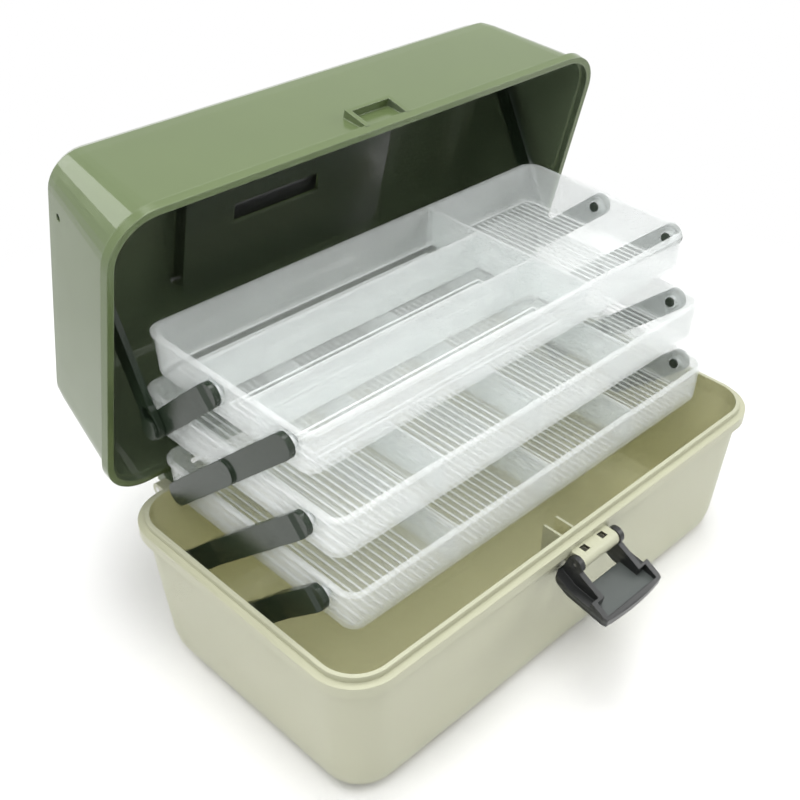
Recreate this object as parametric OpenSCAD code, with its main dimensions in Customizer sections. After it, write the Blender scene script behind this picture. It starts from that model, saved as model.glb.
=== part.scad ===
// Cantilever tackle box, shown open: a drafted base, a hinged lid and three trays on parallel links.
// The origin is the middle of the base's underside. X runs along the length, +Y to the hinges, +Z up.

/* [Box] */
// Length of the box over its flange
box_l = 380; // [376:1:440]
// Depth of the box over its flange
box_d = 207; // [203:1:240]
// Height of the parting plane, where the lid meets the base
base_h = 107; // [104:1:118]
// Plan radius of the flange corners
rim_r = 30; // [26:1:34]
// Thickness of the base wall
base_wall = 2.6; // [2:0.1:3.2]
// Thickness of the base floor
base_floor = 3; // [2:0.1:5]
// How far the base's front and back lean in from the flange down to the floor
base_lean = 4.5; // [4:0.5:8]
// How far the base's ends lean in from the flange down to the floor
base_end_lean = 6; // [4:0.5:8]
// Radius of the rounded bottom edge
foot_r = 20; // [12:0.5:24]
// Height of the flange skirt around the base
flange_h = 7; // [5:0.5:9]
// How far the flange stands out from the base wall
flange_w = 4.5; // [4:0.1:5]
// Height of the tongue that stands up inside the lid
tongue_h = 4; // [2:0.5:5]

/* [Lid] */
// Height of the lid above the parting plane
lid_h = 91; // [89:1:104]
// Thickness of the lid wall
lid_wall = 2.5; // [2:0.1:2.8]
// Height of the proud band along the lid's rim
band_h = 6; // [5:0.5:9]
// How far the band stands out from the lid wall
band_w = 1.6; // [1:0.1:1.8]
// How far the lid's ends lean in from the band to the crown
end_lean = 13; // [9:0.5:13.5]
// How far the lid's front leans in from the band to the crown
front_lean = 11; // [7:0.5:12]
// How far the lid's back leans in from the band to the crown
rear_lean = 4.5; // [3:0.5:10]
// Radius of the rounded edge round the lid's top
crown_r = 20; // [16:1:22]
// Reach of the crown over the lid's back
rear_crown = 12; // [10:1:24]
// Plan radius of the lid's corners at the crown
crown_corner = 20; // [16:1:26]
// Angle at which the lid stands open, from closed
lid_open = 76.6; // [72:0.2:80]
// Distance from the ends of the box to the shallow field in the lid's top
field_inset = 56; // [50:1:80]
// Depth of the shallow field
field_d = 1.5; // [1:0.1:2.5]

/* [Hinge] */
// Distance of the hinge line behind the flange
hinge_out = 6.5; // [6:0.1:8]
// Distance of the hinge line below the parting plane
hinge_drop = 4.3; // [4:0.1:5]
// Diameter of the hinge pins
hinge_pin_d = 4; // [3:0.1:5]
// Outer diameter of the hinge knuckles
knuckle_d = 9; // [8:0.5:9.5]
// Distance from the ends of the box to the middle of each hinge
hinge_inset = 50; // [46:1:80]
// Length of the lid's knuckle
knuckle_l = 20; // [14:1:30]
// Length of each base lug
lug_l = 7.5; // [5:0.5:10]

/* [Trays] */
// Room beside the trays for the bosses in the base wall, measured at the flange
boss_room = 10.6; // [10.6:0.1:16]
// Depth of the middle and bottom trays over their lips
tray_d = 169; // [160:1:172]
// Depth of the top tray over its lip
top_tray_d = 139; // [132:1:140]
// Height of each tray
tray_h = 28.5; // [24:0.5:28.5]
// Thickness of the tray walls and dividers
tray_wall = 1.6; // [1.2:0.1:2]
// Thickness of the tray floors
tray_floor = 1.6; // [1.2:0.1:2.4]
// Width of the lip around each tray's rim
lip_w = 1.5; // [1:0.1:2]
// Height of the lip around each tray's rim
lip_h = 2; // [1:0.1:3]
// How far the tray walls lean in from rim to floor
tray_lean = 1; // [0.5:0.1:2.5]
// Plan radius of the tray corners
tray_r = 11; // [8:0.5:14]
// Compartments along the middle and bottom trays
tray_cells = 4; // [3:1:5]
// Long lanes in the left part of the top tray
top_lanes = 3; // [2:1:4]
// Place of the top tray's cross wall, from the middle of the box
cross_x = 59; // [40:1:90]
// How far the dividers stop below the rim
divider_drop = 1.2; // [0.6:0.1:3]
// Distance between the ribs on the tray floors
rib_pitch = 5; // [4:0.5:8]
// Width of a floor rib
rib_w = 1.4; // [1:0.1:2]
// Height of a floor rib
rib_h = 0.7; // [0.4:0.1:1.2]

/* [Links] */
// Distance between neighbouring pivots along one tray
pivot_s = 60; // [56:1:62]
// Length of a link from one tray to the next
link_e = 66.5; // [64:0.5:70]
// Length of the lowest links, from the base to the bottom tray
base_e = 72; // [68:1:76]
// Angle of the links above level with the box open
link_a = 42; // [38:1:46]
// Height of the base pivots above the underside
base_pivot_z = 80; // [77:1:82]
// Place of the front base pivots, behind the middle of the box
base_pivot_y = 5.1; // [3:0.1:8]
// Depth of the tray pivots below the tray rims
pivot_drop = 11.3; // [10:0.1:12]
// Distance from the top tray's front edge to its front pivot
top_edge = 16.3; // [14:0.1:20]
// Width of the links
link_w = 15; // [13:0.5:17]
// Thickness of the links
link_t = 5.5; // [5:0.1:5.6]
// Thickness of the links' thin ends
thin_t = 3.8; // [3:0.1:4.2]
// Diameter of the link pins
pin_d = 6.4; // [5:0.1:7]
// Diameter of the bosses that carry the link pins
boss_d = 12; // [10:0.5:13]

/* [Lid arms] */
// Place of the lid arm's upper pivot in front of the middle of the closed box
arm_y = 60; // [56:0.5:62]
// Height of the lid arm's upper pivot above the parting plane
arm_w = 65.5; // [62:0.5:66]
// Thickness of the lid arms
arm_t = 3.8; // [3:0.1:3.9]
// Diameter of the stud in the lid arm's lower eye, and of the arm's own pin
stud_d = 4.6; // [4:0.1:5]
// Free play of the slotted lower eye around its stud, on the radius
eye_play = 2.2; // [2.1:0.1:2.4]
// Length of the lower eye's slot between the middles of its ends
eye_run = 8.4; // [8.4:0.1:9]
// Width of the lid arms
arm_bar = 12; // [10:0.5:14]
// Diameter of the stud's head
head_d = 13.4; // [12.5:0.1:15]

/* [Latch] */
// Width of the latch
latch_w = 54; // [50:1:60]
// Length of the latch from its hinge to its free end
latch_l = 36.5; // [36:0.5:40]
// Distance from the latch hinge out to the latch's face
latch_drop = 18; // [16:0.5:19]
// Height of the latch's walls at its free end
latch_side = 4.8; // [4.5:0.1:6]
// Angle at which the latch's walls rise towards the hinge
latch_rise = 18; // [15:0.5:19]
// Distance from the hinge to where the latch widens into its dish
dish_from = 21.5; // [20:0.5:25]
// Thickness of the latch's walls
latch_wall = 3.7; // [3:0.1:4.2]
// Thickness of the latch's floor
latch_floor = 3; // [2:0.1:4]
// Angle of the open latch below level
latch_a = 10; // [5:1:15]
// Width of the hinge block on the base flange
block_w = 33; // [28:1:36]
// Height of the hinge block
block_h = 10; // [9:0.5:10.5]
// Distance of the latch hinge in front of the flange
latch_out = 6; // [6:0.1:7]
// Diameter of the latch pin
latch_pin_d = 3.2; // [2.5:0.1:4]
// Width of the catch on the lid
catch_w = 35; // [30:1:38]
// Height of the catch above the parting plane
catch_h = 24; // [20:0.5:25]
// How far the catch stands out in front of the flange
catch_out = 0.4; // [0.2:0.1:1]

/* [Handle] */
// Length of the carry handle
handle_l = 152; // [130:1:156]
// Reach of the carry handle from its pivots to the middle of its grip
handle_reach = 38; // [32:1:40]
// Thickness of the handle
handle_t = 8; // [7:0.5:8.5]
// Width of the handle's grip
grip_w = 18; // [14:1:22]
// Room in the lid's recess at each end of the handle
handle_room = 6; // [5:0.5:10]
// Depth of the handle recess in the lid's top
recess_d = 13; // [12:0.5:14]
// Place of the handle's pivots behind the middle of the closed box
handle_y = 38; // [34:1:40]
// Diameter of the handle pins
handle_pin_d = 4; // [3:0.1:4.5]

/* [Clearances] */
// Running clearance of a pin in its bore, on the radius
fit = 0.08; // [0.04:0.01:0.1]
// Side clearance between parts that slide past each other
slip = 0.3; // [0.25:0.05:0.35]

/* [Hidden] */
$fn = 48;
hull_fn = 32;
sliver = 0.02;
over = 1;
crown_steps = 4;

// Driving positions, seen in the plane of depth and height
hinge_x = box_l / 2 - hinge_inset;
hinge_p = [box_d / 2 + hinge_out, base_h - hinge_drop];
wall_inset = flange_w + base_wall;
skirt_z = base_h - flange_h;

// The links all point up and forward at the same angle
function up_link(len) = [-len * cos(link_a), len * sin(link_a)];
base_front = [base_pivot_y, base_pivot_z];
base_rear = base_front + [pivot_s, 0];
bottom_front = base_front + up_link(base_e);
bottom_middle = bottom_front + [pivot_s, 0];
bottom_rear = bottom_front + [2 * pivot_s, 0];
middle_front = bottom_middle + up_link(link_e);
middle_middle = middle_front + [pivot_s, 0];
middle_rear = middle_front + [2 * pivot_s, 0];
top_front = middle_middle + up_link(link_e);
top_rear = top_front + [pivot_s, 0];

// The trays' length leaves room at both ends for two layers of links and the base's bosses
links_room = link_t + thin_t + 5 * slip;
tray_l = box_l - 2 * (wall_inset + boss_room + links_room);

// Layers beside the trays, as distances from the middle of the box
lip_x = tray_l / 2;
tray_boss_x = lip_x + slip;
link_x = tray_boss_x + slip;
link_out_x = link_x + link_t;
arm_x = link_out_x + slip;
arm_out_x = arm_x + arm_t;
base_arm_x = link_out_x + 2 * slip;
base_arm_out_x = base_arm_x + thin_t;
base_boss_x = base_arm_out_x + slip;
base_pin_l = 3.8;
base_pin_end = base_boss_x + base_pin_l;
pin_proud = 0.8;
pin_in_x = lip_x - lip_w - tray_lean - tray_wall - pin_proud;

// Lid arm, from the lid's pivot to the middle tray's rear pivot
function opened(p) = hinge_p + [(p - hinge_p) * [cos(lid_open), sin(lid_open)],
                                (p - hinge_p) * [-sin(lid_open), cos(lid_open)]];
arm_p = [-arm_y, base_h + arm_w];
arm_pin = opened(arm_p);
arm_vec = middle_rear - arm_pin;
arm_len = norm(arm_vec);
arm_turn = atan2(arm_vec[1], arm_vec[0]);
eye_w = stud_d + 2 * eye_play;

// Basic shapes
module rounded_rect(l, d, r) {
    square([l - 2 * r, d], center = true);
    square([l, d - 2 * r], center = true);
    for (sx = [-1, 1], sy = [-1, 1])
        translate([sx * (l / 2 - r), sy * (d / 2 - r)]) circle(r);
}

module plate(l, d, r, z, t) {
    translate([0, 0, z]) linear_extrude(t) rounded_rect(l, d, r);
}

module slice(l, d, r, z) {
    translate([0, 0, z]) linear_extrude(sliver) rounded_rect(l, d, r, $fn = hull_fn);
}

module along_x(x0, x1) {
    translate([x0, 0, 0]) rotate([90, 0, 90]) linear_extrude(x1 - x0) children();
}

module rod(p, d, x0, x1) {
    translate([x0, p[0], p[1]]) rotate([0, 90, 0]) cylinder(d = d, h = x1 - x0);
}

module stadium(len, w) {
    translate([0, -w / 2]) square([len, w]);
    circle(d = w);
    translate([len, 0]) circle(d = w);
}

module box(x, y, z) {
    translate([x[0], y[0], z[0]]) cube([x[1] - x[0], y[1] - y[0], z[1] - z[0]]);
}

module both_sides() {
    children();
    mirror([1, 0, 0]) children();
}

module left_side() {
    mirror([1, 0, 0]) children();
}

// Base
base_top_l = box_l - 2 * flange_w;
base_top_d = box_d - 2 * flange_w;
base_top_r = rim_r - flange_w;

module tub_solid(grow, z0) {
    // Drafted block under the flange with a rounded bottom edge, shrunk by grow on every side
    hull() {
        for (k = [0:crown_steps]) {
            turn = k * 90 / crown_steps;
            edge = foot_r * (1 - sin(turn));
            slice(base_top_l - 2 * (grow + base_end_lean + edge), base_top_d - 2 * (grow + base_lean + edge),
                  base_top_r - grow - edge / 2, z0 + foot_r * (1 - cos(turn)));
        }
        slice(base_top_l - 2 * grow, base_top_d - 2 * grow, base_top_r - grow, skirt_z);
    }
}

latch_y = -(box_d / 2 + latch_out);
block_drop = 5;
block_top = base_h - block_drop;
latch_z = block_top - block_h / 2;
block_hole = 5;
fin_gap = 11.5;
fin_t = 1.8;
fin_reach = 25;
fin_shift = 3;
fin_drop = 13;
fin_top = base_h - fin_drop;

module hinge_lugs() {
    // Two lugs beside each lid knuckle, on webs from the flange
    for (sx = [-1, 1], side = [-1, 1])
        translate([sx * hinge_x + side * (knuckle_l + 2 * slip + lug_l) / 2 - lug_l / 2, 0, 0]) {
            rod(hinge_p, knuckle_d, 0, lug_l);
            box([0, lug_l], [box_d / 2 - flange_w, hinge_p[0]], [skirt_z, hinge_p[1] + knuckle_d / 2]);
        }
}

module latch_block() {
    rod([latch_y, latch_z], block_h, -block_w / 2, block_w / 2);
    box([-block_w / 2, block_w / 2], [latch_y, -base_top_d / 2 + base_wall],
        [block_top - block_h, block_top]);
}

module base_tub() {
    pins = [base_front, base_rear];
    color([0.80, 0.79, 0.69]) difference() {
        union() {
            tub_solid(0, 0);
            plate(base_top_l, base_top_d, base_top_r, skirt_z, flange_h + tongue_h);
            plate(box_l, box_d, rim_r, skirt_z, flange_h);
            hinge_lugs();
            latch_block();
        }
        difference() {
            union() {
                tub_solid(base_wall, base_floor);
                plate(base_top_l - 2 * base_wall, base_top_d - 2 * base_wall, base_top_r - base_wall,
                      skirt_z, flange_h + tongue_h + over);
            }
            // Bosses for the lowest links and fins behind the latch are left standing
            for (p = pins)
                both_sides() rod(p, boss_d, base_boss_x, box_l / 2);
            for (sx = [-1, 1])
                translate([fin_shift + sx * fin_gap / 2 - fin_t / 2, 0, 0])
                    box([0, fin_t], [-box_d / 2, -box_d / 2 + wall_inset + fin_reach], [0, fin_top]);
        }
        for (p = pins)
            both_sides() rod(p, pin_d + 2 * fit, base_boss_x - over, base_pin_end + slip);
        for (sx = [-1, 1])
            rod(hinge_p, hinge_pin_d + 2 * fit,
                sx * hinge_x - knuckle_l - lug_l, sx * hinge_x + knuckle_l + lug_l);
        rod([latch_y, latch_z], latch_pin_d + 2 * fit, -block_w, block_w);
        for (sx = [-1, 1])
            translate([sx * block_w / 4, latch_y + block_hole / 2, block_top])
                cube([block_hole, block_hole, block_hole], center = true);
    }
}

// Lid, drawn closed and then swung open about the hinge
module swing() {
    translate([0, hinge_p[0], hinge_p[1]]) rotate([-lid_open, 0, 0])
        translate([0, -hinge_p[0], -hinge_p[1]]) children();
}

lid_z0 = base_h + slip;
lid_top = base_h + lid_h;
crown_z = lid_top - crown_r;

module lid_slice(ends, front, rear, r, z) {
    // Outline with its own inset at the ends, the front and the rear
    translate([0, (front - rear) / 2, 0]) slice(box_l - 2 * ends, box_d - front - rear, r, z);
}

module lid_block(grow, z0) {
    // Drafted and crowned block, shrunk by grow at its sides and top
    side = band_w + grow;
    hull() {
        lid_slice(side, side, side, rim_r - side, z0);
        for (k = [0:crown_steps]) {
            turn = k * 90 / crown_steps;
            edge = (crown_r - grow) * (1 - cos(turn));
            lid_slice(side + end_lean + edge, side + front_lean + edge,
                      side + rear_lean + (rear_crown - grow) * (1 - cos(turn)), crown_corner,
                      crown_z + (crown_r - grow) * sin(turn));
        }
    }
}

// Handle recess in a shallow field of the lid's top, with a finger slot in its floor
recess_l = handle_l + 2 * handle_room;
recess_gap = 5;
finger_gap = 24;
recess_y = [handle_y - handle_reach - grip_w / 2 - finger_gap, handle_y + handle_t / 2 + recess_gap];
recess_r = 10;
recess_floor = lid_top - recess_d;
slot_l = 70;
slot_d = 15;
slot_x = -13;
slot_y = -6.5;
field_floor = lid_top - field_d;
field_edge = 10;
field_r = 14;
handle_sink = 0.5;
handle_p = [handle_y, field_floor - handle_sink - handle_t / 2];
handle_in = handle_l / 2;
pad_y = 14;

module top_outline(l, edge, r) {
    // Outline in the lid's top, a distance outside the handle recess at its front and back
    translate([0, (recess_y[0] + recess_y[1]) / 2])
        rounded_rect(l, recess_y[1] - recess_y[0] + 2 * edge, r);
}

module recess_outline(grow) {
    top_outline(recess_l + 2 * grow, grow, recess_r + grow);
}

module field_outline(grow) {
    top_outline(box_l - 2 * field_inset + 2 * grow, field_edge + grow, field_r + grow);
}

module catch_frame() {
    // U-shaped frame on the lid's leaning front, open towards the rim
    front = -box_d / 2 - catch_out;
    back = front_lean - box_d / 2;
    rail = 3;
    difference() {
        box([-catch_w / 2, catch_w / 2], [front, back], [lid_z0 + band_h - over, base_h + catch_h]);
        box([rail - catch_w / 2, catch_w / 2 - rail], [front - over, back + over],
            [base_h, base_h + catch_h - rail]);
    }
}

module lid_knuckles() {
    // Each knuckle hangs from the band on a leg
    for (sx = [-1, 1])
        translate([sx * hinge_x - knuckle_l / 2, 0, 0]) {
            rod(hinge_p, knuckle_d, 0, knuckle_l);
            box([0, knuckle_l], [hinge_p[0] - knuckle_d / 2, hinge_p[0] + knuckle_d / 2],
                [hinge_p[1], lid_z0 + band_h]);
            box([0, knuckle_l], [box_d / 2 - band_w - over, hinge_p[0]], [lid_z0, lid_z0 + band_h]);
        }
}

module lid_closed() {
    difference() {
        union() {
            lid_block(0, lid_z0);
            plate(box_l, box_d, rim_r, lid_z0, band_h);
            catch_frame();
            lid_knuckles();
        }
        difference() {
            lid_block(lid_wall, lid_z0 - over);
            // Walls of the field and the handle recess and bosses of the lid arms are left standing
            translate([0, 0, field_floor - lid_wall]) linear_extrude(lid_h) field_outline(lid_wall);
            translate([0, 0, recess_floor - lid_wall]) linear_extrude(lid_h) recess_outline(lid_wall);
            both_sides() rod(arm_p, boss_d, arm_out_x + slip, box_l / 2);
        }
        translate([0, 0, field_floor]) linear_extrude(lid_h) field_outline(0);
        difference() {
            translate([0, 0, recess_floor]) linear_extrude(lid_h) recess_outline(0);
            // Pads that the folded handle lies on
            both_sides()
                box([handle_in - handle_w, handle_in], [handle_p[0] - handle_reach / 2, handle_p[0] - pad_y],
                    [0, handle_p[1] - handle_t / 2 - slip]);
        }
        translate([slot_x, slot_y, recess_floor])
            cube([slot_l, slot_d, recess_d], center = true);
        both_sides() {
            rod(arm_p, stud_d + 2 * fit, arm_out_x, box_l / 2);
            rod(handle_p, handle_pin_d + 2 * fit, handle_in, handle_pin_end + slip);
        }
        for (sx = [-1, 1])
            rod(hinge_p, hinge_pin_d + 2 * fit, sx * hinge_x - knuckle_l, sx * hinge_x + knuckle_l);
        plate(base_top_l + 2 * slip, base_top_d + 2 * slip, base_top_r + slip,
              lid_z0 - over, tongue_h + 2 * over);
    }
}

module lid_shell() {
    color([0.33, 0.42, 0.22]) swing() lid_closed();
}

module hinge_pin(sx) {
    half = knuckle_l / 2 + slip + lug_l;
    color([0.75, 0.75, 0.74]) rod(hinge_p, hinge_pin_d, sx * hinge_x - half, sx * hinge_x + half);
}

// Carry handle: a bail with round ends, folded into its recess
handle_w = 10;
pin_grip = 6;
handle_pin_end = recess_l / 2 + pin_grip;

module handle_closed() {
    difference() {
        union() {
            both_sides() along_x(handle_in - handle_w, handle_in)
                translate(handle_p) mirror([1, 0]) stadium(handle_reach, handle_t);
            along_x(handle_w / 2 - handle_in, handle_in - handle_w / 2)
                translate(handle_p - [handle_reach + (grip_w - handle_t) / 2, 0])
                    stadium(grip_w - handle_t, handle_t);
        }
        both_sides() rod(handle_p, handle_pin_d + 2 * fit, handle_in - handle_w - over, handle_in + over);
    }
}

module carry_handle() {
    color([0.10, 0.10, 0.10]) swing() handle_closed();
}

module handle_pin() {
    color([0.75, 0.75, 0.74]) swing() rod(handle_p, handle_pin_d, handle_in - handle_w, handle_pin_end);
}

// Trays
tray_body_l = tray_l - 2 * lip_w;
foot_edge = 2;

module tray_block(l, d, r, z0, z1) {
    // Drafted block with a softened bottom edge
    foot_l = l - 2 * tray_lean;
    foot_d = d - 2 * tray_lean;
    hull() {
        slice(foot_l - 2 * foot_edge, foot_d - 2 * foot_edge, r - tray_lean, z0);
        slice(foot_l - foot_edge / 2, foot_d - foot_edge / 2, r - tray_lean, z0 + foot_edge / 2);
        slice(foot_l, foot_d, r - tray_lean, z0 + 1.5 * foot_edge);
        slice(l, d, r, z1);
    }
}

module tray_frame(d, pivots) {
    // Rim at height 0, floor below; depth d over the lip; pivots as distances from the middle
    body_d = d - 2 * lip_w;
    body_r = tray_r - lip_w;
    difference() {
        union() {
            tray_block(tray_body_l, body_d, body_r, -tray_h, -sliver);
            plate(tray_l, d, tray_r, -lip_h, lip_h);
            for (p = pivots)
                both_sides() rod([p, -pivot_drop], boss_d, pin_in_x + pin_proud, tray_boss_x);
        }
        difference() {
            tray_block(tray_body_l - 2 * tray_wall, body_d - 2 * tray_wall, body_r - tray_wall,
                       tray_floor - tray_h, over);
            children();
        }
        for (p = pivots)
            both_sides() rod([p, -pivot_drop], pin_d + 2 * fit, pin_in_x - pin_proud, tray_boss_x + over);
    }
}

module cross_divider(x, d) {
    box([x - tray_wall / 2, x + tray_wall / 2], [-d / 2, d / 2], [-tray_h, -divider_drop]);
}

rib_margin = 6;
rib_top = tray_floor - tray_h + rib_h;

module floor_ribs(x0, x1, d) {
    // Low ribs across the floor between x0 and x1
    count = floor((x1 - x0 - 2 * rib_margin) / rib_pitch);
    start = (x0 + x1 - count * rib_pitch) / 2;
    for (i = [0:count])
        translate([start + i * rib_pitch, 0, 0])
            box([-rib_w / 2, rib_w / 2], [rib_margin - d / 2, d / 2 - rib_margin], [-tray_h, rib_top]);
}

module lane_outline(x0, x1, y0, y1) {
    // Low frame on the floor of a long lane
    difference() {
        box([x0, x1], [y0, y1], [-tray_h, rib_top]);
        box([x0 + rib_w, x1 - rib_w], [y0 + rib_w, y1 - rib_w], [-2 * tray_h, 0]);
    }
}

module cell_tray() {
    cell = tray_l / tray_cells;
    tray_frame(tray_d, [-pivot_s, 0, pivot_s]) {
        for (i = [1:tray_cells - 1])
            cross_divider(i * cell - tray_l / 2, tray_d);
        for (i = [1:tray_cells])
            floor_ribs((i - 1) * cell - tray_l / 2, i * cell - tray_l / 2, tray_d - 2 * lip_w);
    }
}

module lane_tray(pivots) {
    tray_frame(top_tray_d, pivots) {
        lane = top_tray_d / top_lanes;
        cross_divider(cross_x, top_tray_d);
        floor_ribs(cross_x, tray_l / 2, top_tray_d - 2 * lip_w);
        for (i = [1:top_lanes - 1])
            translate([0, i * lane - top_tray_d / 2, 0])
                box([-tray_l / 2, cross_x], [-tray_wall / 2, tray_wall / 2], [-tray_h, -divider_drop]);
        for (i = [1:top_lanes], inset = [lane / 4, lane / 3])
            translate([0, (i - 0.5) * lane - top_tray_d / 2, 0])
                lane_outline(inset - tray_l / 2, cross_x - inset, inset - lane / 2, lane / 2 - inset);
    }
}

module bottom_tray() {
    color([0.90, 0.92, 0.93, 0.8])
        translate([0, bottom_middle[0], bottom_middle[1] + pivot_drop]) cell_tray();
}

module middle_tray() {
    color([0.90, 0.92, 0.93, 0.8])
        translate([0, middle_middle[0], middle_middle[1] + pivot_drop]) cell_tray();
}

module top_tray() {
    middle = top_front[0] - top_edge + top_tray_d / 2;
    color([0.90, 0.92, 0.93, 0.8])
        translate([0, middle, top_front[1] + pivot_drop])
            lane_tray([top_front[0] - middle, top_rear[0] - middle]);
}

// Links, drawn along +Y from their lowest pivot and then turned to their angle
module at_link(p) {
    translate([0, p[0], p[1]]) rotate([180 - link_a, 0, 0]) children();
}

module link_bar(len, points) {
    // Rounded bar, cut to an outline in length and distance from the box's middle
    intersection() {
        along_x(0, box_l) stadium(len, link_w);
        rotate([0, 0, 90]) mirror([0, 1, 0]) translate([0, 0, -link_w]) linear_extrude(2 * link_w)
            polygon(points);
    }
}

module tray_pin(u) {
    rod([u, 0], pin_d, pin_in_x, link_x + sliver);
}

shoulder = 3;
stud_head = 2;

function upper_end(len) = [[len + link_w, link_x], [len + link_w, link_x + thin_t],
                           [len + shoulder / 2, link_x + thin_t], [len - shoulder / 2, link_out_x]];

module rear_link() {
    // Carries the stud of the lid arm at its lower pivot
    color([0.10, 0.10, 0.10]) at_link(middle_rear) {
        link_bar(link_e, concat([[-link_w, link_x]], upper_end(link_e), [[-link_w, link_out_x]]));
        tray_pin(0);
        tray_pin(link_e);
        rod([0, 0], stud_d, link_out_x - sliver, arm_out_x + slip);
        rod([0, 0], head_d, arm_out_x + slip, arm_out_x + slip + stud_head);
    }
}

module upper_link() {
    // Thick from the bottom tray to the middle tray, thin from there up
    color([0.10, 0.10, 0.10]) at_link(bottom_rear) {
        along_x(link_x, link_out_x) stadium(link_e, link_w);
        along_x(link_x, link_x + thin_t) stadium(2 * link_e, link_w);
        for (i = [0:2])
            tray_pin(i * link_e);
    }
}

module base_joggled(len, pivots) {
    // Steps out beside the base's bosses, with its own pin into them
    start = link_w;
    end = base_e / 2;
    link_bar(len, concat([[-link_w, base_arm_x], [start, base_arm_x], [end, link_x]], upper_end(len),
                         [[end, link_out_x], [start, base_arm_out_x], [-link_w, base_arm_out_x]]));
    rod([0, 0], pin_d, base_arm_out_x - sliver, base_pin_end);
    for (u = pivots)
        tray_pin(u);
}

module lower_link() {
    color([0.10, 0.10, 0.10]) at_link(base_rear) base_joggled(base_e + link_e, [base_e, base_e + link_e]);
}

module base_link() {
    color([0.10, 0.10, 0.10]) at_link(base_front) base_joggled(base_e, [base_e]);
}

module lid_arm() {
    // Pin in the lid's end wall, slotted eye around the rear link's stud
    pin_end = box_l / 2 - band_w - end_lean;
    color([0.10, 0.10, 0.10]) translate([0, arm_pin[0], arm_pin[1]]) rotate([arm_turn, 0, 0]) difference() {
        union() {
            along_x(arm_x, arm_out_x) {
                stadium(arm_len, arm_bar);
                translate([arm_len - eye_run, 0]) stadium(eye_run, link_w);
            }
            rod([0, 0], stud_d, arm_out_x - sliver, pin_end);
        }
        along_x(arm_x - over, arm_out_x + over) translate([arm_len - eye_run, 0]) stadium(eye_run, eye_w);
    }
}

// Latch, drawn level with its hinge at the origin, its free end towards -Y and its dish facing up
ear_r = latch_out - slip;
ear_in = block_w / 2 + slip;
ear_out = ear_in + latch_wall;
pin_sink = 1;
heel = 8;
heel_rise = 4.5;
plate_back = 5;
ledge = 5;
window = 9.5;
latch_bow = 2;
latch_corner = 5;

// Height of the wall tops at a distance in front of the hinge
function wall_top(y) = latch_side - latch_drop + (latch_l - y) * tan(latch_rise);

module latch_plan() {
    // Outline of the face from the heel to the bowed free end
    bow_r = (pow(latch_w / 2, 2) + pow(latch_bow, 2)) / (2 * latch_bow);
    intersection() {
        translate([0, (heel - latch_l) / 2]) rounded_rect(latch_w, latch_l + heel, latch_corner);
        translate([0, bow_r - latch_l]) circle(bow_r, $fn = 180);
    }
}

module latch_body() {
    // Face plate with its ledges and the heel that reaches back under the flange, and the dish walls
    face = -latch_drop;
    intersection() {
        translate([0, 0, face]) linear_extrude(latch_drop) latch_plan();
        along_x(-latch_w / 2, latch_w / 2) {
            polygon([[-latch_l, face], [-plate_back, face], [heel, face + heel_rise],
                     [heel, face + heel_rise + ledge], [-plate_back, face + ledge], [-latch_l, face + ledge]]);
            polygon([[-latch_l, face], [-dish_from, face], [-dish_from, wall_top(dish_from)],
                     [-latch_l, wall_top(latch_l)]]);
        }
    }
}

module latch_arm() {
    // Wall from the round head at the hinge to the dish
    along_x(ear_in, ear_out) {
        circle(ear_r);
        polygon([[-dish_from - over, -latch_drop], [-plate_back, -latch_drop], [heel, heel_rise - latch_drop],
                 [ear_r, 0], [-ear_r, wall_top(ear_r)], [-dish_from - over, wall_top(dish_from + over)]]);
    }
}

module latch_level() {
    dish = latch_w / 2 - latch_wall;
    difference() {
        union() {
            latch_body();
            both_sides() latch_arm();
        }
        // Dish, narrower between the arms
        box([-dish, dish], [latch_wall - latch_l, -dish_from - latch_wall / 2], [latch_floor - latch_drop, 0]);
        box([-ear_in, ear_in], [-dish_from - latch_wall, 0], [latch_floor - latch_drop, ear_r]);
        // Opening around the hinge block
        box([-ear_in, ear_in], [-window, heel + over], [-latch_drop - over, ear_r]);
        rod([0, 0], latch_pin_d + 2 * fit, -latch_w, latch_w);
    }
}

module latch() {
    color([0.13, 0.13, 0.13]) translate([0, latch_y, latch_z]) rotate([latch_a, 0, 0]) latch_level();
}

module latch_pin() {
    color([0.75, 0.75, 0.74]) rod([latch_y, latch_z], latch_pin_d, pin_sink - ear_out, ear_out - pin_sink);
}

base_tub();
lid_shell();
hinge_pin(-1);  // hinge_pin_left
hinge_pin(1);  // hinge_pin_right
latch();
latch_pin();
carry_handle();
left_side() handle_pin();  // handle_pin_left
handle_pin();  // handle_pin_right
top_tray();
middle_tray();
bottom_tray();
left_side() lid_arm();  // lid_arm_left
lid_arm();  // lid_arm_right
left_side() rear_link();  // rear_link_left
rear_link();  // rear_link_right
left_side() upper_link();  // upper_link_left
upper_link();  // upper_link_right
left_side() lower_link();  // lower_link_left
lower_link();  // lower_link_right
left_side() base_link();  // base_link_left
base_link();  // base_link_right
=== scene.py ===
import math

import bpy
from mathutils import Matrix, Vector


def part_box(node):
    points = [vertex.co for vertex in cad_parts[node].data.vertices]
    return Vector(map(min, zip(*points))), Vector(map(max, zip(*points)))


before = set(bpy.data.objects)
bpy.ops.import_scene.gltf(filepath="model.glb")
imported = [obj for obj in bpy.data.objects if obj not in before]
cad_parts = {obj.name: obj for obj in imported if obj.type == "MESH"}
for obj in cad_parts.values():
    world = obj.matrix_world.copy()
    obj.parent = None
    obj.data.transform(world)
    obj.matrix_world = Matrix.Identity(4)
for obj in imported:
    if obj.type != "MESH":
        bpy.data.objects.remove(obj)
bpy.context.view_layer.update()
scene = bpy.context.scene


# Node graphs

# Where most of a noise texture's values lie
NOISE_LOW, NOISE_HIGH = 0.3, 0.7


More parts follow.
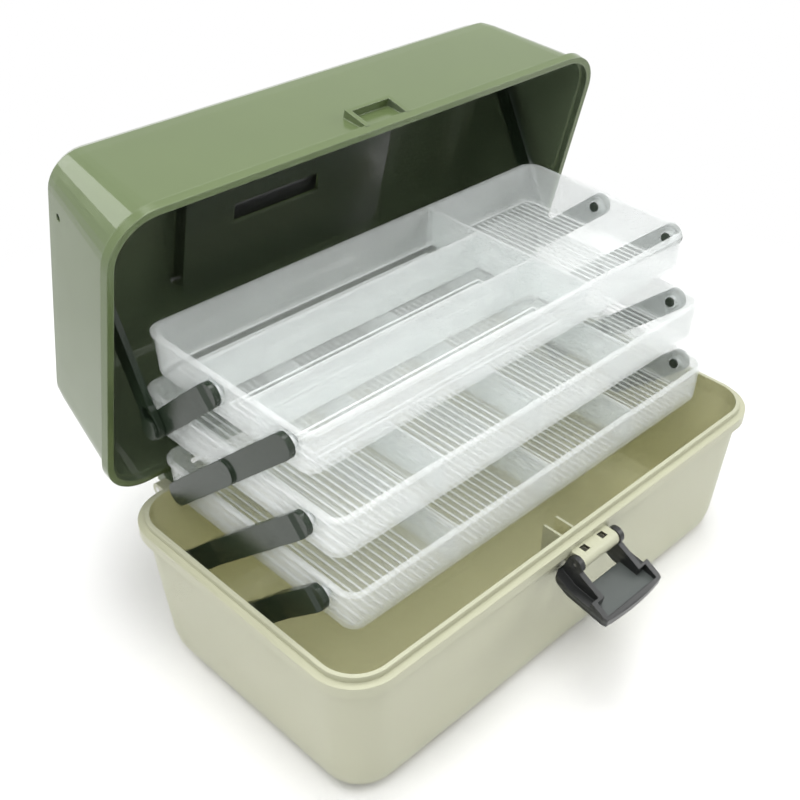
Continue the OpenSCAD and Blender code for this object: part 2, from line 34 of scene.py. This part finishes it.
class Graph:
    """Short calls for building the node tree of a material or a world."""

    def __init__(self, owner):
        owner.use_nodes = True
        self.tree = owner.node_tree

    def node(self, kind, **values):
        made = self.tree.nodes.new(kind)
        for key, value in values.items():
            setattr(made, key, value)
        return made

    def link(self, source, target):
        self.tree.links.new(source, target)

    def fill(self, sockets, values):
        """Links each value that is a socket, and writes the others down as numbers."""
        for socket, value in zip(sockets, values):
            if isinstance(value, (int, float, tuple)):
                socket.default_value = value
            else:
                self.link(value, socket)

    def math(self, operation, *values):
        made = self.node("ShaderNodeMath", operation=operation)
        self.fill(made.inputs, values)
        return made.outputs[0]

    def largest(self, first, *others):
        for other in others:
            first = self.math("MAXIMUM", first, other)
        return first

    def surroundings(self):
        """1 for rays that show the backdrop: from the camera, in gloss and through clear parts."""
        path = self.node("ShaderNodeLightPath").outputs
        return self.largest(path["Is Camera Ray"], path["Is Glossy Ray"], path["Is Transmission Ray"])

    def blend(self, fac, first, second, output):
        """Mixes two shaders into the output of the tree."""
        both = self.node("ShaderNodeMixShader")
        self.fill(both.inputs, (fac, first, second))
        self.link(both.outputs[0], self.tree.nodes[output].inputs["Surface"])


class Material(Graph):
    """A material in the object's own coordinates, which are the frame's at rest."""

    def __init__(self, name):
        self.mat = bpy.data.materials.new(name)
        super().__init__(self.mat)
        self.shader = self.tree.nodes["Principled BSDF"]
        place = self.node("ShaderNodeTexCoord").outputs
        self.coords, self.normal = place["Object"], place["Normal"]

    def set(self, **values):
        for key, value in values.items():
            self.shader.inputs[key.replace("_", " ")].default_value = value

    def drive(self, name, source):
        self.link(source, self.shader.inputs[name])

    def noise(self, scale, detail, roughness, stretch=None):
        tex = self.node("ShaderNodeTexNoise")
        tex.inputs["Scale"].default_value = scale
        tex.inputs["Detail"].default_value = detail
        tex.inputs["Roughness"].default_value = roughness
        source = self.coords
        if stretch:
            source = self.vector("MULTIPLY", self.coords, stretch)
        self.link(source, tex.inputs["Vector"])
        return tex.outputs["Fac"]

    def bands(self, fac, stops):
        """A colour that follows a list of positions and colours."""
        made = self.node("ShaderNodeValToRGB")
        points = made.color_ramp.elements
        while len(points) < len(stops):
            points.new(0.5)
        for point, (position, colour) in zip(points, stops):
            point.position = position
            point.color = (*colour, 1)
        self.link(fac, made.inputs["Fac"])
        return made.outputs["Color"]

    def mottled(self, noise, low, high):
        """A colour that wanders between two with a noise."""
        return self.bands(noise, ((NOISE_LOW, low), (NOISE_HIGH, high)))

    def mix(self, fac, first, second):
        made = self.node("ShaderNodeMix", data_type="RGBA")
        for socket, value in ((0, fac), (6, first), (7, second)):
            self.link(value, made.inputs[socket])
        return made.outputs[2]

    def span(self, fac, low, high, start=NOISE_LOW, end=NOISE_HIGH):
        """Takes the range from start to end over to the range from low to high, and holds it there."""
        made = self.node("ShaderNodeMapRange")
        self.fill(made.inputs, (fac, start, end, low, high))
        return made.outputs["Result"]

    def vector(self, operation, first, second):
        made = self.node("ShaderNodeVectorMath", operation=operation)
        self.fill(made.inputs, (first, second))
        return made.outputs["Value" if operation == "DOT_PRODUCT" else "Vector"]

    def length(self, vector):
        made = self.node("ShaderNodeVectorMath", operation="LENGTH")
        self.link(vector, made.inputs[0])
        return made.outputs["Value"]

    def split(self, vector):
        made = self.node("ShaderNodeSeparateXYZ")
        self.link(vector, made.inputs[0])
        return made.outputs

    def within(self, value, middle, half):
        """1 where a number lies within half of a middle."""
        return self.math("LESS_THAN", self.math("ABSOLUTE", self.math("SUBTRACT", value, middle)), half)

    def inward(self, middle, floor):
        """1 on faces that look to the middle of a shell; floor points from its mouth to its floor."""
        away = self.vector("SUBTRACT", self.coords, middle)
        towards = self.math("LESS_THAN", self.vector("DOT_PRODUCT", self.normal, away), 0.0)
        # The back of a rim looks to the middle too, but also to the floor
        steep = self.math("LESS_THAN", self.vector("DOT_PRODUCT", self.normal, floor), RIM_BACK)
        return self.math("MULTIPLY", towards, steep)

    def rounded(self, edge):
        """Normals that turn the corner over a sharp edge."""
        made = self.node("ShaderNodeBevel", samples=4)
        made.inputs["Radius"].default_value = edge
        return made.outputs["Normal"]

    def highlit_edges(self, rounded):
        """1 along sharp edges, 0 on plain faces: where the painted edge highlight goes."""
        plain = self.node("ShaderNodeNewGeometry").outputs["Normal"]
        return self.span(self.vector("DOT_PRODUCT", rounded, plain), 0.0, 1.0, HIGHLIGHT_FROM, HIGHLIGHT_FULL)

    def relief(self, height, strength, depth, rounded):
        bump = self.node("ShaderNodeBump")
        bump.inputs["Strength"].default_value = strength
        bump.inputs["Distance"].default_value = depth
        self.link(height, bump.inputs["Height"])
        self.link(rounded, bump.inputs["Normal"])
        self.drive("Normal", bump.outputs["Normal"])


# Moulded plastic of the base, lid, links, latch and handle

# How far a face leans to the floor of a shell before it counts as the back of its rim
RIM_BACK = 0.3
# How closely rounded and plain normals agree where the painted edge highlight starts, and where it is at
# its brightest
HIGHLIGHT_FROM, HIGHLIGHT_FULL = 0.97, 0.8

CREAM = (0.47, 0.474, 0.345)
# Paler cream along sharp edges: a painted highlight
CREAM_EDGE_HIGHLIGHT = (0.62, 0.62, 0.43)
# Lighter cream on the inside of the base: painted light, for the light that the trays scatter down into it
CREAM_INSIDE_LIT = (0.645, 0.63, 0.385)
OLIVE = (0.116, 0.157, 0.064)
# Paler olive along sharp edges: a painted highlight
OLIVE_EDGE_HIGHLIGHT = (0.25, 0.31, 0.18)
# The lid's inside painted darker: painted shade, for the shade inside the open lid
OLIVE_INSIDE_SHADE = (0.112, 0.142, 0.085)
# The underside of the handle recess inside the lid, painted darker still: painted shade
OLIVE_RECESS_SHADE = (0.054, 0.069, 0.043)
LINK_BLACK = (0.018, 0.029, 0.017)
BLACK = (0.012, 0.013, 0.0125)
# A lighter grey on the latch's dish floor: a painted sheen
DISH_SHEEN_GREY = (0.075, 0.085, 0.08)
# Painted shade inside the latch block's sockets
SOCKET_SHADE = (0.05, 0.048, 0.035)
# How far the flow marks go from a colour, as a share of it, and the smears from a roughness
FLOW_SPREAD = 0.04
SMEAR_BELOW, SMEAR_ABOVE = 0.05, 0.07
GRAIN_STRENGTH = 0.25


def moulded(name, colour, rough, zones=None, edge=0.0006, edge_highlight_colour=None, specular=None,
            grain=2200, grain_depth=0.00004):
    """Faint flow marks, a fine grain and rounded edges, with a painted highlight along sharp edges; zones
    gives masks of painted light and shade, each with its colour.
    """
    g = Material(name)
    flow = g.noise(scale=9, detail=4, roughness=0.6, stretch=(1.0, 1.0, 2.5))

    def flowing(shade):
        return g.mottled(flow, *([c * (1 + side * FLOW_SPREAD) for c in shade] for side in (-1, 1)))

    tone = flowing(colour)
    for mask, zone_colour in zones(g) if zones else ():
        tone = g.mix(mask, tone, flowing(zone_colour))
    rounded = g.rounded(edge)
    # Sharp edges turn paler: a painted highlight
    if edge_highlight_colour:
        tone = g.mix(g.highlit_edges(rounded), tone, flowing(edge_highlight_colour))
    g.drive("Base Color", tone)
    smears = g.noise(scale=40, detail=5, roughness=0.65)
    g.drive("Roughness", g.span(smears, rough - SMEAR_BELOW, rough + SMEAR_ABOVE))
    g.relief(g.noise(grain, detail=2, roughness=0.5), GRAIN_STRENGTH, grain_depth, rounded)
    if specular:
        g.set(Specular_IOR_Level=specular)
    return g.mat


BASE_MIDDLE = (0.0, 0.0, 0.06)
BASE_DOWN = (0.0, 0.0, -1.0)
# The two square sockets in the top of the latch's hinge block, whose insides are painted dark as painted
# shade
SOCKET_X, SOCKET_Y, SOCKET_Z = 0.00825, -0.107, 0.1003
SOCKET_HALF, SOCKET_DEEP = 0.0026, 0.0015


def base_zones(g):
    x, y, z = g.split(g.coords)
    across = g.math("MULTIPLY", g.within(g.math("ABSOLUTE", x), SOCKET_X, SOCKET_HALF),
                    g.within(y, SOCKET_Y, SOCKET_HALF))
    sockets = g.math("MULTIPLY", across, g.within(z, SOCKET_Z, SOCKET_DEEP))
    # The inside faces get the lighter cream of painted light, the sockets their painted shade
    return (g.inward(BASE_MIDDLE, BASE_DOWN), CREAM_INSIDE_LIT), (sockets, SOCKET_SHADE)


LID_OPEN = math.radians(76.6)
LID_HINGE = (0.0, 0.110, 0.1027)
LID_MIDDLE = (0.0, 0.1227, 0.2188)
LID_UP = (0.0, math.sin(LID_OPEN), math.cos(LID_OPEN))
# The handle recess in the closed lid, at the middle of its walls: its place in depth, half sizes and floor
RECESS_Y, RECESS_HALF_X, RECESS_HALF_Y, RECESS_FLOOR = 0.007, 0.0832, 0.04125, 0.18375
# Height up to which the recess's walls stand free of the lid's top, and the room that they take
RECESS_TOP, RECESS_ROOM = 0.193, 0.006


def lid_zones(g):
    """The lid's inside faces, and apart from them the underside of the sunk handle recess, both darkened
    as painted shade.
    """
    closed = g.node("ShaderNodeVectorRotate", rotation_type="X_AXIS")
    closed.inputs["Center"].default_value = LID_HINGE
    closed.inputs["Angle"].default_value = LID_OPEN
    g.link(g.coords, closed.inputs["Vector"])
    x, y, z = g.split(closed.outputs[0])
    out_x = g.math("SUBTRACT", g.math("ABSOLUTE", x), RECESS_HALF_X)
    out_y = g.math("SUBTRACT", g.math("ABSOLUTE", g.math("SUBTRACT", y, RECESS_Y)), RECESS_HALF_Y)
    out = g.largest(out_x, out_y, g.math("SUBTRACT", RECESS_FLOOR, z))
    near = g.math("MULTIPLY", g.math("LESS_THAN", out, RECESS_ROOM), g.math("LESS_THAN", z, RECESS_TOP))
    recess = g.math("MULTIPLY", g.math("GREATER_THAN", out, 0.0), near)
    shell = g.math("MULTIPLY", g.inward(LID_MIDDLE, LID_UP), g.math("SUBTRACT", 1.0, near))
    return (shell, OLIVE_INSIDE_SHADE), (recess, OLIVE_RECESS_SHADE)


# The floor of the latch's dish, painted a lighter grey as a painted sheen: a plane below the hinge, tilted
# with the open latch
LATCH_HINGE = (0.0, -0.1095, 0.097)
LATCH_TILT = math.radians(10)
LATCH_UP = (0.0, -math.sin(LATCH_TILT), math.cos(LATCH_TILT))
DISH_FLOOR, DISH_HALF = -0.015, 0.0003


def latch_zones(g):
    away = g.vector("SUBTRACT", g.coords, LATCH_HINGE)
    return (g.within(g.vector("DOT_PRODUCT", away, LATCH_UP), DISH_FLOOR, DISH_HALF), DISH_SHEEN_GREY),


# Translucent plastic of the trays

# Its colour, and how much of that is left in its darker patches
FROST, FROST_PATCH = (0.92, 0.97, 0.955), 0.97
FROST_ROUGH = (0.26, 0.38)
# Slow waves in its surface and the rounding of its edges, in metres
WAVE_STRENGTH, WAVE_DEPTH, TRAY_EDGE = 0.12, 0.0004, 0.0004
# Share by which its cloudiness thins and thickens
CLOUD = (0.92, 1.08)
# How solid the plastic looks on upright walls, on dividers, on the floors and on the thicker places
WALL, DIVIDER = 0.37, 0.56
CELL_FLOOR, CROSS_FLOOR, LANE_FLOOR = 0.2, 0.3, 0.14
FLOOR_EDGE, RIB, LIP, PIN_RING_HIGHLIGHT = 0.45, 0.72, 0.38, 0.9
# A face is upright where its normal rises or falls by less than this
UPRIGHT = 0.5
# The cross wall of the top tray with the long lanes to the left of it, and the cells of the other trays
CROSS_X, LANES, CELLS = 0.059, 3, 4
DIVIDER_HALF = 0.0012
# Pivots of the trays at rest, in depth and height: each link rises forward at one angle
PIVOT_STEP = 0.060
LINK_ANGLE = math.radians(42)
BASE_LINK, TRAY_LINK = 0.072, 0.0665
RING_R = 0.0043

rise = Vector((-math.cos(LINK_ANGLE), math.sin(LINK_ANGLE)))
step = Vector((PIVOT_STEP, 0))
base_pivot = Vector((0.0051, 0.080))
bottom_pivot = base_pivot + BASE_LINK * rise
middle_pivot = bottom_pivot + step + TRAY_LINK * rise
top_pivot = middle_pivot + step + TRAY_LINK * rise
# The foremost pivot of each tray, and how many it has
PIVOTS = {"bottom_tray": (bottom_pivot, 3), "middle_tray": (middle_pivot, 3), "top_tray": (top_pivot, 2)}


def levels(floor):
    """How solid a tray looks by height in millimetres: underside, floor edge, floor, ribs and lip."""
    return ((0.1, floor), (0.3, FLOOR_EDGE), (1.3, FLOOR_EDGE), (1.5, floor), (2.0, floor),
            (2.15, RIB), (2.45, RIB), (2.6, floor), (26.2, floor), (26.6, LIP))


def tray_plastic(name):
    """Milky plastic that lets what lies behind it show."""
    g = Material("tray_plastic_" + name)
    low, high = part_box(name)
    x, y, z = g.split(g.coords)
    tall = g.span(z, 0.0, 1.0, low[2], high[2])
    tall_mm = (high[2] - low[2]) * 1000

    def by_height(floor):
        return g.bands(tall, [(mm / tall_mm, (value,) * 3) for mm, value in levels(floor)])

    def wall_at(axis, place, i, parts):
        return g.within(place, low[axis] + (high[axis] - low[axis]) * i / parts, DIVIDER_HALF)

    if name == "top_tray":
        left = g.math("LESS_THAN", x, CROSS_X)
        solid = g.mix(left, by_height(CROSS_FLOOR), by_height(LANE_FLOOR))
        lanes = [g.math("MULTIPLY", left, wall_at(1, y, i, LANES)) for i in range(1, LANES)]
        dividers = g.largest(g.within(x, CROSS_X, DIVIDER_HALF), *lanes)
    else:
        solid = by_height(CELL_FLOOR)
        dividers = g.largest(*(wall_at(0, x, i, CELLS) for i in range(1, CELLS)))
    upright = g.within(g.split(g.normal)["Z"], 0.0, UPRIGHT)
    walls = g.math("MULTIPLY", upright, g.span(dividers, WALL, DIVIDER, 0.0, 1.0))
    cloud = g.span(g.noise(scale=22, detail=4, roughness=0.6), *CLOUD)
    solid = g.math("MULTIPLY", g.largest(solid, walls), cloud)

    # Rings round the pin holes, more solid and so whiter: partly the thicker bosses there, partly a
    # painted highlight on their rims
    first, count = PIVOTS[name]
    for i in range(count):
        away = g.vector("SUBTRACT", g.coords, (0.0, first[0] + i * PIVOT_STEP, first[1]))
        far = g.length(g.vector("MULTIPLY", away, (0.0, 1.0, 1.0)))
        solid = g.largest(solid, g.math("MULTIPLY", g.math("LESS_THAN", far, RING_R), PIN_RING_HIGHLIGHT))

    g.drive("Alpha", solid)
    patch = [c * FROST_PATCH for c in FROST]
    g.drive("Base Color", g.mottled(g.noise(scale=14, detail=3, roughness=0.5), patch, FROST))
    g.drive("Roughness", g.span(g.noise(scale=60, detail=4, roughness=0.6), *FROST_ROUGH))
    waves = g.noise(scale=35, detail=2, roughness=0.5)
    g.relief(waves, WAVE_STRENGTH, WAVE_DEPTH, g.rounded(TRAY_EDGE))
    # Light that falls on one side of a thin wall shows on the other
    g.set(Subsurface_Weight=0.6, Subsurface_Radius=(1.0, 1.0, 1.0), Subsurface_Scale=0.004)
    return g.mat


# Drawn steel wire of the pins

STEEL_LOW, STEEL_HIGH = (0.45, 0.45, 0.44), (0.62, 0.62, 0.6)
STEEL_ROUGH = (0.25, 0.4)
# Its marks run along the wire
DRAWN = (0.05, 1.0, 1.0)


def steel():
    g = Material("pin_steel")
    streaks = g.noise(scale=300, detail=3, roughness=0.6, stretch=DRAWN)
    g.drive("Base Color", g.mottled(streaks, STEEL_LOW, STEEL_HIGH))
    scratches = g.noise(scale=500, detail=3, roughness=0.6, stretch=DRAWN)
    g.drive("Roughness", g.span(scratches, *STEEL_ROUGH))
    g.set(Metallic=1.0)
    return g.mat


# Which material each piece gets

BY_NODE = {
    "base_tub": moulded("base_plastic", CREAM, rough=0.36, zones=base_zones, edge_highlight_colour=CREAM_EDGE_HIGHLIGHT),
    "lid_shell": moulded("lid_plastic", OLIVE, rough=0.17, zones=lid_zones, edge=0.001,
                         edge_highlight_colour=OLIVE_EDGE_HIGHLIGHT, specular=0.45),
    "latch": moulded("latch_plastic", BLACK, rough=0.32, zones=latch_zones, grain=1200),
    "carry_handle": moulded("handle_plastic", BLACK, rough=0.45, grain=700, grain_depth=0.00008),
}
link_plastic = moulded("link_plastic", LINK_BLACK, rough=0.22, grain=900, specular=0.42)
pin_steel = steel()

for name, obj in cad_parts.items():
    if name in BY_NODE:
        material = BY_NODE[name]
    elif name in PIVOTS:
        material = tray_plastic(name)
    elif "pin" in name:
        material = pin_steel
    else:
        material = link_plastic
    obj.data.materials.clear()
    obj.data.materials.append(material)


# Floor, light and camera

WHITE = (1.0, 1.0, 1.0, 1.0)
FLOOR_SIZE, FLOOR_GAP = 8, 0.0003
FLOOR_PALE = (0.93, 0.93, 0.93, 1.0)
# Distance from the middle over which the floor turns into a plain white backdrop
BACKDROP_FROM, BACKDROP_FULL = 0.3, 0.6
WORLD_LIGHT = 0.14
# Round lamps: place, what they point at, width in metres and watts
LAMPS = {
    "key": ((-0.6, -0.7, 1.9), (0, 0, 0.1), 1.6, 28),
    "top": ((0.3, 0.3, 2.2), (0, 0, 0.1), 1.4, 25),
    "right": ((1.6, -0.9, 1.0), (0, 0, 0.15), 1.2, 17),
    "left": ((-1.7, 0.3, 0.9), (0, 0, 0.15), 1.2, 5.5),
    "back": ((-0.6, 1.3, 1.3), (0, 0, 0.25), 1.1, 10),
}


def add_floor():
    bpy.ops.mesh.primitive_plane_add(size=FLOOR_SIZE, location=(0, 0, -FLOOR_GAP))
    plane = bpy.context.object
    plane.name = "floor"
    g = Material("floor_white")
    g.set(Base_Color=FLOOR_PALE, Roughness=0.9)
    far = g.span(g.length(g.coords), 0.0, 1.0, BACKDROP_FROM, BACKDROP_FULL)
    white = g.node("ShaderNodeEmission")
    shown = g.math("MULTIPLY", far, g.surroundings())
    g.blend(shown, g.shader.outputs[0], white.outputs[0], "Material Output")
    plane.data.materials.append(g.mat)


def add_world():
    scene.world = bpy.data.worlds.new("studio")
    g = Graph(scene.world)
    light = g.tree.nodes["Background"]
    backdrop = g.node("ShaderNodeBackground")
    for back, strength in ((light, WORLD_LIGHT), (backdrop, 1.0)):
        back.inputs["Color"].default_value = WHITE
        back.inputs["Strength"].default_value = strength
    g.blend(g.surroundings(), light.outputs[0], backdrop.outputs[0], "World Output")


def add_lamp(name, place, target, width, watts):
    light = bpy.data.lights.new(name, "AREA")
    light.shape = "DISK"
    light.size = width
    light.energy = watts
    obj = bpy.data.objects.new(name, light)
    scene.collection.objects.link(obj)
    obj.location = place
    obj.rotation_euler = (Vector(target) - Vector(place)).to_track_quat("-Z", "Y").to_euler()


# The photograph's view, worked out from the box's own edges; focal length and shift in its pixels
PHOTO_WIDTH = 800
FOCAL, SHIFT = 1207.2, -66.5
SENSOR_MM = 36
CAMERA_PLACE = (-0.4529, -0.4095, 0.5865)
CAMERA_FORWARD, CAMERA_UP = (0.6034, 0.5455, -0.5816), (0.4016, 0.4222, 0.8127)


def add_camera():
    forward = Vector(CAMERA_FORWARD).normalized()
    right = forward.cross(Vector(CAMERA_UP)).normalized()
    up = right.cross(forward)
    data = bpy.data.cameras.new("camera")
    data.sensor_width = SENSOR_MM
    data.lens = FOCAL / PHOTO_WIDTH * SENSOR_MM
    data.shift_x = SHIFT / PHOTO_WIDTH
    data.clip_end = 50
    obj = bpy.data.objects.new("camera", data)
    scene.collection.objects.link(obj)
    turn = Matrix((right, up, -forward)).transposed()
    obj.matrix_world = Matrix.Translation(CAMERA_PLACE) @ turn.to_4x4()
    scene.camera = obj


scene.view_settings.view_transform = "Standard"
# Many clear walls lie behind each other, and the denoiser blurs them less with colour alone
scene.cycles.transparent_max_bounces = 32
scene.cycles.denoising_input_passes = "RGB"
add_floor()
add_world()
for name, lamp in LAMPS.items():
    add_lamp(name, *lamp)
add_camera()
